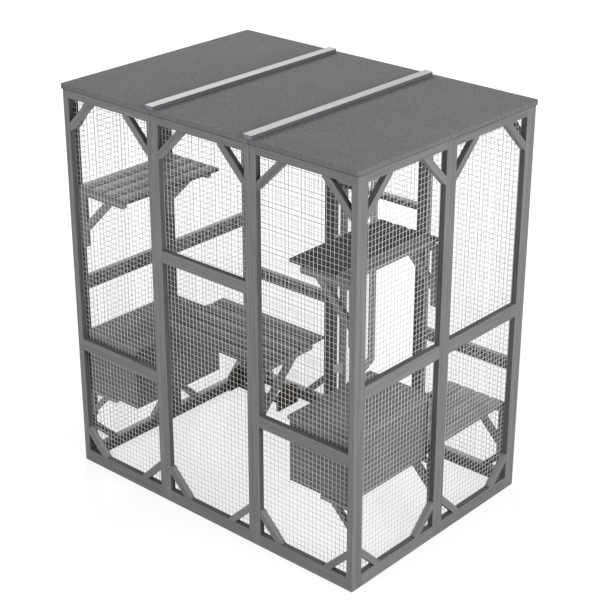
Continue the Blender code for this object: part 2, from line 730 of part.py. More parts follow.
def low_stand():
    """A low stand on the ground: two end boards and a looped frame between them."""
    right = STAND_LEFT + STAND_LENGTH
    front = STAND_BACK - STAND_DEPTH
    middle = (front + STAND_BACK) / 2
    flat_half = STAND_DEPTH * STAND_FLAT_SHARE / 2
    outline = [
        (front, 0),
        (STAND_BACK, 0),
        (STAND_BACK, STAND_EDGE_HEIGHT),
        (middle + flat_half, STAND_HEIGHT),
        (middle - flat_half, STAND_HEIGHT),
        (front, STAND_EDGE_HEIGHT),
    ]
    for name, x in (("left", STAND_LEFT + STAND_BOARD / 2), ("right", right - STAND_BOARD / 2)):
        board = plate(f"stand_end_{name}", outline, [], STAND_BOARD, side_wall(x))
        finish(board, DARK_BROWN)
    loop_left, loop_right = STAND_LEFT + STAND_BOARD + FIT, right - STAND_BOARD - FIT
    loop = rectangle(loop_left, loop_right, 0, STAND_HEIGHT)
    hole = rounded_rectangle(
        loop_left + STAND_RAIL,
        loop_right - STAND_RAIL,
        STAND_RAIL,
        STAND_HEIGHT - STAND_RAIL,
        (STAND_CORNER,) * 4,
    )
    frame = plate("stand_frame", loop, [hole], STAND_RAIL_WIDTH, long_wall(middle))
    finish(frame, NEAR_BLACK)


clear_scene()
PARTS = new_collection(COLLECTION)
TOOLS = new_collection("cutters")
HANGING = []
long_walls()
side_walls()
door_leaf()
for hinge_name, hinge_share in zip(("lower_hinge", "upper_hinge"), HINGE_Z_SHARES):
    hinge(hinge_name, LEAF_BOTTOM + (LEAF_TOP - LEAF_BOTTOM) * hinge_share)
bolt_set()
hang_door()
roof()
shelves()
cat_house("left_house", "left", SHELF_SETBACK)
cat_house("right_house", "right", HOUSE_RIGHT_SETBACK)
low_stand()
centre_part()
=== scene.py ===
"""Looks of the outdoor cat enclosure: stained timber, welded wire, roofing felt and steel."""

import math
import random

import bmesh
import bpy
from mathutils import Matrix, Vector


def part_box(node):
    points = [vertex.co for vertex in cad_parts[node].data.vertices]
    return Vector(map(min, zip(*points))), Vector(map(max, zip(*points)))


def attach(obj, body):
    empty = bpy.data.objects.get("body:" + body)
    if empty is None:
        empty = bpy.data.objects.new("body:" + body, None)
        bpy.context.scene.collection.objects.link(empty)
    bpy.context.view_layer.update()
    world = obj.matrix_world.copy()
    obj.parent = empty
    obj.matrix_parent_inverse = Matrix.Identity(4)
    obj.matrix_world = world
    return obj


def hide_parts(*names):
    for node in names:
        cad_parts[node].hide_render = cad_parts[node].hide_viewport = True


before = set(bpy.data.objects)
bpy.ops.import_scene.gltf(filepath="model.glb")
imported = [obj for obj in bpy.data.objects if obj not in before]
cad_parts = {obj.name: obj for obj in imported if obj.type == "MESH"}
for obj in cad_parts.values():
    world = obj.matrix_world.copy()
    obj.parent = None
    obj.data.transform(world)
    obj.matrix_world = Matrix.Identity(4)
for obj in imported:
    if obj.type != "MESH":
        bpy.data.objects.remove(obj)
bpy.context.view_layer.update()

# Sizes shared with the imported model, in metres. MIDDLE_Y is where the enclosure's own middle
# lies, as the frame's origin is under the middle of the box with the door open.
WIDTH = 1.800
DEPTH = 1.262
WALL_HEIGHT = 1.9965
FIT = 0.0003
TIMBER = 0.030
STILE = 0.035
LEAF_STILE = 0.037
BOTTOM_RAIL = 0.065
TOP_RAIL = 0.0395
LONG_RAIL = (0.643, 0.703)
MIDDLE_RAIL = (1.290, 1.350)
SIDE_RAIL = (0.957, 1.025)
HEADER = (1.328, 1.360)
BRACE = 0.035
BRACE_NOSE = 0.010
LEG_TOP = 0.170
LEG_BOTTOM = 0.145
LEAF_RAIL = 0.032
LEAF_GAP = 0.004
DOOR_OPEN = math.radians(110)
MIDDLE_Y = -0.246739
HALF_WIDTH = WIDTH / 2
HALF_DEPTH = DEPTH / 2
INNER_X = HALF_WIDTH - TIMBER
INNER_Y = HALF_DEPTH - TIMBER
BAY = WIDTH / 3
OPENING_HALF = BAY / 2 - FIT / 2 - STILE
LEAF_HALF = OPENING_HALF - LEAF_GAP
LEAF_BOTTOM = BOTTOM_RAIL + LEAF_GAP
LEAF_TOP = HEADER[0] - LEAF_GAP
HINGE_X = -OPENING_HALF + LEAF_GAP / 2
HINGE_OUT = 0.0035
HINGE_Y = HALF_DEPTH + FIT + HINGE_OUT
NET_LAP = 0.004

scene = bpy.context.scene
rng = random.Random(7)


# Materials

# Sockets of a Mix node that blends colours
MIX_FACTOR = 0
MIX_COLOURS = (6, 7)
MIX_RESULT = 2

# Scale of the noises in timber, along its grain and twice across it
FINE_GRAIN = (5.0, 420.0, 420.0)
GRAIN_STREAKS = (2.4, 150.0, 150.0)
GRAIN_BANDS = (1.6, 60.0, 60.0)
GRAIN_CLOUDS = (3.0, 9.0, 9.0)

# Depth that the bumps seem to have, in metres
GRAIN_RELIEF = 0.0012
GRIT_RELIEF = 0.0010
METAL_RELIEF = 0.0003

# Height and tone of a line of painted shade along the roof felt's lowest edge
HEM_HEIGHT = 0.006
HEM_PAINTED_SHADE = 0.38


def nodes_of(name):
    """A new material, its tree and its shader."""
    material = bpy.data.materials.new(name)
    material.use_nodes = True
    tree = material.node_tree
    return material, tree, tree.nodes["Principled BSDF"]


def add(tree, kind, **values):
    """Adds a node, with its properties set by name and its sockets by a dict called sockets."""
    node = tree.nodes.new(kind)
    for key, value in values.pop("sockets", {}).items():
        node.inputs[key].default_value = value
    for key, value in values.items():
        setattr(node, key, value)
    return node


def ramp(tree, source, stops):
    """Turns a number into a colour by stops, each a place and a colour."""
    node = tree.nodes.new("ShaderNodeValToRGB")
    marks = node.color_ramp.elements
    marks[0].position, marks[0].color = stops[0][0], (*stops[0][1], 1)
    marks[1].position, marks[1].color = stops[-1][0], (*stops[-1][1], 1)
    for place, colour in stops[1:-1]:
        mark = marks.new(place)
        mark.color = (*colour, 1)
    tree.links.new(source, node.inputs["Fac"])
    return node.outputs["Color"]


def noise(tree, coordinates, scale, detail=4.0, roughness=0.55, distortion=0.0):
    values = {
        "Scale": scale,
        "Detail": detail,
        "Roughness": roughness,
        "Distortion": distortion,
    }
    node = add(tree, "ShaderNodeTexNoise", sockets=values)
    tree.links.new(coordinates, node.inputs["Vector"])
    return node.outputs["Fac"]


def stretched(tree, coordinates, scale):
    """Coordinates scaled along each of their axes."""
    node = add(tree, "ShaderNodeMapping", vector_type="POINT", sockets={"Scale": scale})
    tree.links.new(coordinates, node.inputs["Vector"])
    return node.outputs["Vector"]


def product(tree, first, *others):
    """Multiplies colours with each other; each is a colour or an output."""
    for other in others:
        node = add(tree, "ShaderNodeMix", data_type="RGBA", blend_type="MULTIPLY")
        node.inputs[MIX_FACTOR].default_value = 1.0
        for place, value in zip(MIX_COLOURS, (first, other)):
            socket = node.inputs[place]
            if isinstance(value, bpy.types.NodeSocket):
                tree.links.new(value, socket)
            else:
                socket.default_value = (*value, 1)
        first = node.outputs[MIX_RESULT]
    return first


def bumped(tree, shader, height, strength, distance):
    node = add(tree, "ShaderNodeBump", sockets={"Strength": strength, "Distance": distance})
    tree.links.new(height, node.inputs["Height"])
    tree.links.new(node.outputs["Normal"], shader.inputs["Normal"])


def attribute(tree, name):
    return add(tree, "ShaderNodeAttribute", attribute_type="GEOMETRY", attribute_name=name)


def grey(value, tint=(0.0, 0.0, 0.0)):
    """A grey of this value, moved by a small tint."""
    return tuple(value + part for part in tint)


def scaled(marks, share):
    """Ramp stops as greys round 1, with their distance from 1 scaled."""
    return tuple((place, (1 + (value - 1) * share,) * 3) for place, value in marks)


def timber_material(name, level, rough=0.72, share=1.0, tint=(-0.004, 0.0, 0.006)):
    """Grey stain over straight grain that runs along each timber's own length.

    share scales how far the grain departs from the plain stain.
    """
    material, tree, shader = nodes_of(name)
    along = attribute(tree, "grain").outputs["Vector"]
    fine = noise(tree, stretched(tree, along, FINE_GRAIN), 1.0, 5.0, 0.6)
    streaks = noise(tree, stretched(tree, along, GRAIN_STREAKS), 1.0, 3.0, 0.6, 0.2)
    bands = noise(tree, stretched(tree, along, GRAIN_BANDS), 1.0, 3.0, 0.5, 0.4)
    clouds = noise(tree, stretched(tree, along, GRAIN_CLOUDS), 1.0, 2.0)
    tone = ramp(tree, fine, scaled(((0.30, 0.66), (0.50, 1.0), (0.72, 1.30)), share))
    band = ramp(tree, bands, scaled(((0.32, 0.78), (0.55, 1.0), (0.75, 1.10)), share))
    streak = ramp(tree, streaks, scaled(((0.34, 0.70), (0.50, 1.0), (0.68, 1.32)), share))
    cloud = ramp(tree, clouds, scaled(((0.30, 0.92), (0.70, 1.06)), share))
    # Per-face tone: each timber's random stain times the painted light and shade of its faces
    shade = attribute(tree, "tone").outputs["Color"]
    colour = product(tree, grey(level, tint), tone, band, streak, cloud, shade)
    tree.links.new(colour, shader.inputs["Base Color"])
    shader.inputs["Roughness"].default_value = rough
    shader.inputs["Specular IOR Level"].default_value = 0.25
    bumped(tree, shader, fine, 0.35, GRAIN_RELIEF)
    return material


def felt_material(name, level, tint, speckle, fleck_share=1.0, hem=None):
    """Mineral felt: fine grit in several greys over bitumen.

    fleck_share scales its coarser specks; hem is the height of the sheet's lower edge,
    where a thin line of painted shade darkens the felt.
    """
    material, tree, shader = nodes_of(name)
    place = tree.nodes.new("ShaderNodeTexCoord").outputs["Object"]
    grit = noise(tree, place, 900.0, 2.0, 0.7)
    coarse = noise(tree, place, 160.0, 3.0, 0.6)
    wide = noise(tree, place, 4.0, 3.0)
    low, high = grey(level * (1 - speckle), tint), grey(level * (1 + speckle), tint)
    tone = ramp(tree, grit, ((0.34, low), (0.50, grey(level, tint)), (0.66, high)))
    fleck = ramp(tree, coarse, scaled(((0.36, 0.74), (0.64, 1.22)), fleck_share))
    patch = ramp(tree, wide, ((0.30, grey(0.96)), (0.70, grey(1.04))))
    colour = product(tree, tone, fleck, patch)
    # A line of painted shade along the felt's lowest edge
    if hem:
        axes = tree.nodes.new("ShaderNodeSeparateXYZ")
        tree.links.new(place, axes.inputs[0])
        values = {"From Min": hem, "From Max": hem + HEM_HEIGHT}
        rise = add(tree, "ShaderNodeMapRange", sockets=values)
        tree.links.new(axes.outputs["Z"], rise.inputs["Value"])
        line = ramp(tree, rise.outputs[0], ((0.55, grey(HEM_PAINTED_SHADE)), (0.9, grey(1.0))))
        colour = product(tree, colour, line)
    tree.links.new(colour, shader.inputs["Base Color"])
    shader.inputs["Roughness"].default_value = 0.92
    shader.inputs["Specular IOR Level"].default_value = 0.2
    bumped(tree, shader, grit, 0.5, GRIT_RELIEF)
    return material


def metal_material(name, level, rough, metallic=1.0, spread=0.12, toned=False):
    """Zinc or paint on steel, with soft clouds and fine scratches.

    spread is how far the clouds depart from the level; toned says that faces carry a tone.
    """
    material, tree, shader = nodes_of(name)
    place = tree.nodes.new("ShaderNodeTexCoord").outputs["Object"]
    clouds = noise(tree, place, 45.0, 4.0)
    fine = noise(tree, place, 700.0, 2.0)
    low, high = grey(level * (1 - spread)), grey(level * (1 + spread))
    tone = ramp(tree, clouds, ((0.30, low), (0.70, high)))
    if toned:
        tone = product(tree, tone, attribute(tree, "tone").outputs["Color"])
    tree.links.new(tone, shader.inputs["Base Color"])
    shader.inputs["Metallic"].default_value = metallic
    rough_tone = ramp(tree, fine, ((0.3, grey(rough * 0.85)), (0.7, grey(rough * 1.15))))
    tree.links.new(rough_tone, shader.inputs["Roughness"])
    bumped(tree, shader, fine, 0.15, METAL_RELIEF)
    return material


TIMBER_MAT = timber_material("timber_stain", 0.190, share=0.48)
SHELF_MAT = timber_material("shelf_stain", 0.205, share=0.62)
HOUSE_MAT = timber_material("house_stain", 0.165, 0.8, 0.62)
BROWN_MAT = timber_material("dark_brown_stain", 0.040, 0.6, 0.8, (0.013, 0.002, -0.010))
FELT_MAT = felt_material("roof_felt", 0.159, (-0.004, 0.0, 0.004), 0.45, hem=WALL_HEIGHT)
LID_MAT = felt_material("lid_felt", 0.215, (0.003, 0.002, -0.006), 0.08, 0.4)
WIRE_MAT = metal_material("galvanised_wire", 0.64, 0.5, 0.0, 0.08, toned=True)
STEEL_MAT = metal_material("zinc_plate", 0.62, 0.34)
BLACK_MAT = metal_material("black_paint", 0.014, 0.45, 0.0, 0.25)
CAP_MAT = timber_material("batten_cap", 0.500, 0.6, 0.25)
BATTEN_MAT = timber_material("batten_side", 0.110, 0.8, 0.35)


# Timber pieces

AXES = {"x": (1, 0, 0), "y": (0, 1, 0), "z": (0, 0, 1)}
EASE = 0.0016
EDGE_TONE = 1.12
STAIN_RANGE = (0.93, 1.07)
GRAIN_SHIFT = 40
FACING = 0.6


class Timbers:
    """Collects timbers into one mesh, each with eased edges and its own run of grain."""

    def __init__(self, name, matrix):
        self.name = name
        self.matrix = matrix
        self.total = bmesh.new()
        self.total.loops.layers.float_vector.new("grain")
        self.total.faces.layers.float_color.new("tone")

    def add(
        self, outline, depth=TIMBER, middle=0.0, along="z", shade=None, ease=EASE, edge=EDGE_TONE
    ):
        """One timber: an outline across and up, made deep; along is its grain's direction.

        shade gives the tone of a face from its plain normal, before the edges are eased;
        edge is the tone of the eased edges.
        """
        one = bmesh.new()
        grain = one.loops.layers.float_vector.new("grain")
        tone = one.faces.layers.float_color.new("tone")
        face = one.faces.new([one.verts.new((x, middle - depth / 2, z)) for x, z in outline])
        made = bmesh.ops.extrude_face_region(one, geom=[face])["geom"]
        verts = [item for item in made if isinstance(item, bmesh.types.BMVert)]
        bmesh.ops.translate(one, vec=(0, depth, 0), verts=verts)
        bmesh.ops.recalc_face_normals(one, faces=one.faces)
        one.normal_update()
        stain_and_painted_light = rng.uniform(*STAIN_RANGE)
        for item in one.faces:
            level = stain_and_painted_light * (shade(item) if shade else 1.0)
            item[tone] = (level, level, level, 1)
        eased = bmesh.ops.bevel(
            one, geom=one.edges[:], offset=ease, segments=2, profile=0.5, affect="EDGES"
        )["faces"]
        level = stain_and_painted_light * edge
        for item in eased:
            item[tone] = (level, level, level, 1)
        run = Vector(AXES.get(along, along)).normalized()
        across = Vector((-run.z, 0, run.x)) if along != "y" else Vector((1, 0, 0))
        third = run.cross(across)
        shift = Vector([rng.uniform(-GRAIN_SHIFT, GRAIN_SHIFT) for _ in range(3)])
        for item in one.faces:
            for loop in item.loops:
                place = loop.vert.co
                loop[grain] = Vector((place @ run, place @ across, place @ third)) + shift
        mesh = bpy.data.meshes.new("one")
        one.to_mesh(mesh)
        one.free()
        self.total.from_mesh(mesh)
        bpy.data.meshes.remove(mesh)

    def finish(self, material, body, slot, *nodes):
        """Makes the object and stands it in for its CAD nodes."""
        mesh = bpy.data.meshes.new(self.name)
        self.total.transform(self.matrix)
        self.total.to_mesh(mesh)
        self.total.free()
        mesh.materials.append(material)
        item = bpy.data.objects.new(self.name, mesh)
        scene.collection.objects.link(item)
        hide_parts(*nodes)
        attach(item, body)


def rectangle(left, right, bottom, top):
    return [(left, bottom), (right, bottom), (right, top), (left, top)]


def long_wall(y):
    """A wall along x: local x runs to the right and local y to the back."""
    return Matrix.Translation((0, y + MIDDLE_Y, 0))


def side_wall(x):
    """A wall along y: local x runs to the back and local y to the left."""
    return Matrix.Translation((x, MIDDLE_Y, 0)) @ Matrix.Rotation(math.radians(90), 4, "Z")


def opened(matrix):
    """Turns the closed door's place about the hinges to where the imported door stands."""
    pin = Matrix.Translation((HINGE_X, HINGE_Y + MIDDLE_Y, 0))
    return pin @ Matrix.Rotation(DOOR_OPEN, 4, "Z") @ pin.inverted() @ matrix


# Walls and door

# Painted shade on the frames' inner faces and on faces towards the room; painted light on the back
# and left walls' rail tops
INSIDE_PAINTED_SHADE = 0.62
ROOM_PAINTED_SHADE = 0.42
TOP_PAINTED_LIGHT = 1.8
# Painted light on the braces' faces towards the bay
BRACE_BAY_PAINTED_LIGHT = 1.45
BRACE_FACING = 0.5
BRACE_EASE = 0.0024
NOSE_SHARES = (0.45, 0.95, 1.25)

WIRE = 0.0022
WIRE_FUSE = 0.85
WIRE_PITCH_ACROSS = 0.0235
WIRE_PITCH_UP = 0.0264
WIRE_SIDES = 6
WIRE_SMOOTH = math.radians(65)
# Painted shade that keeps the level wires darker than the uprights
LEVEL_WIRE_PAINTED_SHADE = 0.92
NET_DEPTH = FIT + WIRE * (1 + WIRE_FUSE) / 2


def inner_shade(sides, room):
    """Painted shade on the faces that look along one of these directions, across and up.

    room is the local y direction of the room, or 0 for the door's leaf. Faces towards it get a
    darker painted shade. It is -1 for the back and left walls, whose rail tops get painted light.
    """
    def shade(face):
        normal = face.normal
        if normal.y * room > FACING:
            return ROOM_PAINTED_SHADE
        for x, z in sides:
            if normal.x * x + normal.z * z > FACING:
                return TOP_PAINTED_LIGHT if room < 0 and z > 0 else INSIDE_PAINTED_SHADE
        return 1.0
    return shade


def brace_shade(to_x, to_z, room):
    """Painted shade on the face towards the corner and faces towards the room,
    painted light on the faces towards the bay.
    """
    def shade(face):
        if face.normal.y * room > FACING:
            return ROOM_PAINTED_SHADE
        outwards = (face.normal.x * to_x + face.normal.z * to_z) * math.sqrt(0.5)
        if outwards < -FACING:
            return INSIDE_PAINTED_SHADE
        return BRACE_BAY_PAINTED_LIGHT if outwards > BRACE_FACING else 1.0
    return shade


def brace(timbers, x, z, to_x, to_z, leg, room):
    """A corner brace at 45 degrees, with its sharp noses rounded off."""
    inner = leg - BRACE * math.sqrt(2)
    nose = BRACE_NOSE
    rise, fall, end = NOSE_SHARES
    points = [
        (x, z + to_z * inner),
        (x, z + to_z * (leg - nose)),
        (x + to_x * nose * rise, z + to_z * (leg - nose * fall)),
        (x + to_x * nose, z + to_z * (leg - nose * end)),
        (x + to_x * (leg - nose * end), z + to_z * nose),
        (x + to_x * (leg - nose * fall), z + to_z * nose * rise),
        (x + to_x * (leg - nose), z),
        (x + to_x * inner, z),
    ]
    if to_x * to_z < 0:
        points.reverse()
    shade = brace_shade(to_x, to_z, room)
    timbers.add(points, along=(to_x, 0, -to_z), shade=shade, ease=BRACE_EASE)


def panel(name, matrix, left, right, stiles, rails, levels, legs, room, body="enclosure"):
    """All the timbers of one wall frame or of the door's leaf.

    legs are the lengths of the lower and upper braces, or 0 where there are none.
    """
    timbers = Timbers(name + "_timber", matrix)
    in_left, in_right = left + stiles[0], right - stiles[1]
    timbers.add(rectangle(left, in_left, *levels), shade=inner_shade([(1, 0)], room))
    timbers.add(rectangle(in_right, right, *levels), shade=inner_shade([(-1, 0)], room))
    for place, (low, high) in enumerate(rails):
        above = [(0, 1)] if place < len(rails) - 1 else []
        below = [(0, -1)] if place > 0 else []
        shade = inner_shade(above + below, room)
        timbers.add(rectangle(in_left, in_right, low, high), along="x", shade=shade)
    if legs[0]:
        z = rails[0][1]
        brace(timbers, in_left, z, 1, 1, legs[0], room)
        brace(timbers, in_right, z, -1, 1, legs[0], room)
    if legs[1]:
        z = rails[-1][0]
        brace(timbers, in_left, z, 1, -1, legs[1], room)
        brace(timbers, in_right, z, -1, -1, legs[1], room)
    timbers.finish(TIMBER_MAT, body, "timber", name)


def wire_net(name, matrix, left, right, bottom, top, body="enclosure"):
    """Welded wire: upright wires, level wires on the room's side, cut ends at the edge."""
    total = bmesh.new()
    tones = total.faces.layers.float_color.new("tone")
    radius = WIRE / 2
    setback = WIRE * WIRE_FUSE / 2

    def wire(start, end, tone):
        start, end = Vector(start), Vector(end)
        run = end - start
        turn = Vector((0, 0, 1)).rotation_difference(run).to_matrix().to_4x4()
        place = Matrix.Translation((start + end) / 2) @ turn
        made = bmesh.ops.create_cone(
            total,
            cap_ends=True,
            segments=WIRE_SIDES,
            radius1=radius,
            radius2=radius,
            depth=run.length,
            matrix=place,
        )["verts"]
        for vert in made:
            for face in vert.link_faces:
                face[tones] = (tone, tone, tone, 1)

    columns = round((right - left - WIRE) / WIRE_PITCH_ACROSS)
    rows = round((top - bottom - WIRE) / WIRE_PITCH_UP)
    for number in range(columns + 1):
        x = left + radius + (right - left - WIRE) * number / columns
        wire((x, -setback, bottom), (x, -setback, top), 1.0)
    # The level wires carry a painted shade
    for number in range(rows + 1):
        z = bottom + radius + (top - bottom - WIRE) * number / rows
        wire((left, setback, z), (right, setback, z), LEVEL_WIRE_PAINTED_SHADE)
    mesh = bpy.data.meshes.new(name + "_wires")
    total.transform(matrix)
    total.to_mesh(mesh)
    total.free()
    mesh.materials.append(WIRE_MAT)
    mesh.shade_smooth()
    mesh.set_sharp_from_angle(angle=WIRE_SMOOTH)
    item = bpy.data.objects.new(name + "_wires", mesh)
    scene.collection.objects.link(item)
    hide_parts(name)
    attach(item, body)


def wall_panel(name, frame_at, net_at, left, right, mid_rail, room):
    """One wall frame with three rails and braces in all its corners, and its net."""
    rails = ((0, BOTTOM_RAIL), mid_rail, (WALL_HEIGHT - TOP_RAIL, WALL_HEIGHT))
    levels = (0, WALL_HEIGHT)
    legs = (LEG_BOTTOM, LEG_TOP)
    panel(name + "_frame", frame_at, left, right, (STILE, STILE), rails, levels, legs, room)
    net = (left + STILE - NET_LAP, right - STILE + NET_LAP)
    wire_net(name + "_net", net_at, *net, BOTTOM_RAIL - NET_LAP, WALL_HEIGHT - TOP_RAIL + NET_LAP)


def walls():
    """The four walls, each bay a frame with its net; the nets lie on the room's side."""
    for wall, side in (("front", -1), ("back", 1)):
        frame_at = long_wall(side * (HALF_DEPTH - TIMBER / 2))
        net_at = long_wall(side * (INNER_Y - NET_DEPTH))
        if side > 0:
            net_at = net_at @ Matrix.Diagonal((1, -1, 1, 1))
        for place, bay in enumerate(("left", "middle", "right")):
            left = -HALF_WIDTH + place * BAY + (FIT / 2 if place else 0)
            right = -HALF_WIDTH + (place + 1) * BAY - (FIT / 2 if place < 2 else 0)
            if bay != "middle":
                wall_panel(f"{wall}_{bay}_panel", frame_at, net_at, left, right, LONG_RAIL, -side)
            elif wall == "front":
                wall_panel("front_middle_panel", frame_at, net_at, left, right, MIDDLE_RAIL, 1)
            else:
                doorway(frame_at, net_at, left, right)
    for wall, side in (("left", -1), ("right", 1)):
        frame_at = side_wall(side * (HALF_WIDTH - TIMBER / 2))
        net_at = side_wall(side * (INNER_X - NET_DEPTH))
        if side < 0:
            net_at = net_at @ Matrix.Diagonal((1, -1, 1, 1))
        for bay, start, end in (
            ("front", -INNER_Y + FIT, -FIT / 2),
            ("back", FIT / 2, INNER_Y - FIT),
        ):
            wall_panel(f"{wall}_{bay}_panel", frame_at, net_at, start, end, SIDE_RAIL, side)


def doorway(frame_at, net_at, left, right):
    """The frame round the doorway and the leaf that stands open in it."""
    rails = ((0, BOTTOM_RAIL), HEADER, (WALL_HEIGHT - TOP_RAIL, WALL_HEIGHT))
    levels = (0, WALL_HEIGHT)
    stiles = (STILE, STILE)
    panel("door_surround_frame", frame_at, left, right, stiles, rails, levels, (0, LEG_TOP), -1)
    net = (left + STILE - NET_LAP, right - STILE + NET_LAP)
    heights = (HEADER[1] - NET_LAP, WALL_HEIGHT - TOP_RAIL + NET_LAP)
    wire_net("door_surround_net", net_at, *net, *heights)
    rails = ((LEAF_BOTTOM, LEAF_BOTTOM + LEAF_RAIL), (LEAF_TOP - LEAF_RAIL, LEAF_TOP))
    levels = (LEAF_BOTTOM, LEAF_TOP)
    stiles = (LEAF_STILE, LEAF_STILE)
    span = (-LEAF_HALF, LEAF_HALF)
    panel("door_frame", opened(frame_at), *span, stiles, rails, levels, (0, 0), 0, "door")
    edge = LEAF_HALF - LEAF_STILE + NET_LAP
    heights = (rails[0][1] - NET_LAP, rails[1][0] + NET_LAP)
    wire_net("door_net", opened(net_at), -edge, edge, *heights, "door")


# Shelves and houses

# Place of each wall's inner face, turn of what hangs on it, sign of the places along it
SHELF_WALLS = {
    "left": ((-INNER_X, 0, 0), 0, 1),
    "right": ((INNER_X, 0, 0), 180, -1),
    "front": ((0, -INNER_Y, 0), 90, -1),
}
SLAT_WIDTH = 0.078
SLAT_GAP = 0.010
SLAT = 0.018
ARM_HEIGHT = 0.034
SHELF_SETBACK = 0.004
UPPER_SHELF_Z = 1.518
UPPER_SHELF_END = 0.020
UPPER_RIGHT_SETBACK = 0.036
LOWER_SHELF_Z = 0.468
LOWER_SHELF_START = 0.004
LOWER_RIGHT_SETBACK = 0.020
FRONT_SHELF_Z = 0.938
FRONT_SHELF_OVERHANG = 0.027
CORNER_SETBACK = 0.0040
ARM_WIDTH = 0.024
CORNER_BRACKET_Y = -INNER_Y + CORNER_SETBACK + ARM_WIDTH / 2
MID_BRACKET_Y = -0.018
BRACKET_LEG = 0.265
BRACKET_WIDTH = 0.040
BRACKET_SLOPE = 0.050
HOUSE_Z = 0.410
HOUSE_ARM = 0.020
HOUSE_ARM_LENGTH = 0.190
HOUSE_LEG = 0.150
HOUSE_BRACKET_WIDTH = 0.024
HOUSE_BRACKET_REACH = 0.128
HOUSE_BRACKET_INNER_REACH = 0.092
ARM_NOSE = 0.007
NOSE_TURN = 0.3
SLAT_CROWN = 0.0015
CROWN_SHARES = (0.0, 0.12, 0.3, 0.5, 0.7, 0.88, 1.0)
SLAT_EASE = 0.0025
SLAT_EDGE_TONE = 0.85
# How fast the painted light falls off across each slat's crown
SLAT_LIGHT_FALLOFF = 7.5

# Slats in number, length of the arms, reach of the brackets
UPPER_SIZES = (4, 0.315, 0.227)
FRONT_SIZES = (5, 0.369, 0.258)

# Painted light and shade on the slats: tone of their tops, fall-off of the painted
# light to one side, least share the fall-off leaves, tone painted on the narrow faces
LEFT_SLAT_PAINTED_LIGHT = (2.1, -1.4, 0.3, 0.36)
FRONT_SLAT_PAINTED_LIGHT = (1.1, 1.2, 0.3, 0.36)
SHADED_SLAT_PAINTED_SHADE = (0.62, 0.5, 0.3, 0.36)
SUNLIT_SLAT_PAINTED_LIGHT = (1.35, 1.8, 0.88, 1.1)
LOWER_SLAT_PAINTED_LIGHT = (1.75, 0.3, 0.3, 0.85)


def room_matrix(wall):
    """Local x runs from a wall's inner face into the room, and local z is up."""
    place, turn, _ = SHELF_WALLS[wall]
    place = Vector((0, MIDDLE_Y, 0)) + Vector(place)
    return Matrix.Translation(place) @ Matrix.Rotation(math.radians(turn), 4, "Z")


def nosed(left, right, bottom, top, nose):
    """A rectangle whose right end has its two corners rounded off."""
    turn = nose * NOSE_TURN
    return [
        (left, bottom),
        (right - nose, bottom),
        (right - turn, bottom + turn),
        (right, bottom + nose),
        (right, top - nose),
        (right - turn, top - turn),
        (right - nose, top),
        (left, top),
    ]


def crowned(left, right, bottom, top, crown):
    """A slat's end: flat below, gently rounded on top, like a decking board."""
    width = right - left
    arch = [
        (left + width * share, top - crown * (2 * share - 1) ** 2) for share in CROWN_SHARES
    ]
    return [(left, bottom), (right, bottom)] + arch[::-1]


def slope(width, high, reach, inner):
    """A bracket's sloping strut, from its upright of this width to its arm's underside."""
    return [
        (width, high - reach + width),
        (reach, high),
        (inner, high),
        (width, high - inner + width),
    ]


def slat_shade(level, light_falloff, least, side):
    """Painted light on one long side of a slat's crown, fading to painted shade on the other;
    side is the tone painted on its narrow faces.

    The second argument has the sign of the lit side's local x direction, and is larger where
    the painted light falls off more steeply.
    """
    def shade(face):
        if face.normal.z < FACING:
            return side
        return level * max(1 + SLAT_LIGHT_FALLOFF * face.normal.x * light_falloff, least)
    return shade


def shelf(name, wall, top, places, span, setback, stain_and_painted_light, sizes=UPPER_SIZES, first=None):
    """A slatted shelf with its two arms, and the two brackets under them.

    The painted light and shade that slat_shade takes for the slats come after setback, and
    first holds them for the slat at the wall where that one differs. sizes holds the number
    of slats, the length of the arms and the reach of the brackets.
    """
    slats, arm, reach = sizes
    *_, sign = SHELF_WALLS[wall]
    at = room_matrix(wall)
    arm_top = top - SLAT
    under = arm_top - ARM_HEIGHT
    deck = Timbers(name + "_deck_timber", at)
    for number in range(slats):
        start = setback + number * (SLAT_WIDTH + SLAT_GAP)
        outline = crowned(start, start + SLAT_WIDTH, arm_top, top, SLAT_CROWN)
        middle = sign * (span[0] + span[1]) / 2
        # Painted light and shade for this slat; its eased edges follow its painted level
        tones = first if first and number == 0 else stain_and_painted_light
        edge = SLAT_EDGE_TONE * tones[0]
        shade = slat_shade(*tones)
        deck.add(outline, span[1] - span[0], middle, "y", shade, SLAT_EASE, edge)
    for place in places:
        outline = nosed(FIT, arm, under, arm_top, ARM_NOSE)
        deck.add(outline, ARM_WIDTH, sign * place, "x")
    deck.finish(SHELF_MAT, "enclosure", "timber", name + "_deck")
    high = under - FIT
    width, inner = BRACKET_WIDTH, reach - BRACKET_SLOPE
    for label, place in zip(("near", "far"), places):
        node = f"{name}_bracket_{label}"
        bracket = Timbers(node + "_timber", at)
        leg = rectangle(FIT, width, high - BRACKET_LEG, high)
        bracket.add(leg, ARM_WIDTH, sign * place, "z")
        strut = slope(width, high, reach, inner)
        bracket.add(strut, ARM_WIDTH, sign * place, (1, 0, 1))
        bracket.finish(SHELF_MAT, "enclosure", "timber", node)


def house_bracket(name, wall, place):
    """A small bracket under a house: arm, upright and sloping strut."""
    *_, sign = SHELF_WALLS[wall]
    width, reach, inner = HOUSE_BRACKET_WIDTH, HOUSE_BRACKET_REACH, HOUSE_BRACKET_INNER_REACH
    top = HOUSE_Z - FIT
    under = top - HOUSE_ARM
    bracket = Timbers(name + "_timber", room_matrix(wall))
    middle = sign * place
    bracket.add(rectangle(FIT, HOUSE_ARM_LENGTH, under, top), ARM_WIDTH, middle, "x")
    bracket.add(rectangle(FIT, width, top - HOUSE_LEG, under), ARM_WIDTH, middle, "z")
    bracket.add(slope(width, under, reach, inner), ARM_WIDTH, middle, (1, 0, 1))
    bracket.finish(SHELF_MAT, "enclosure", "timber", name)


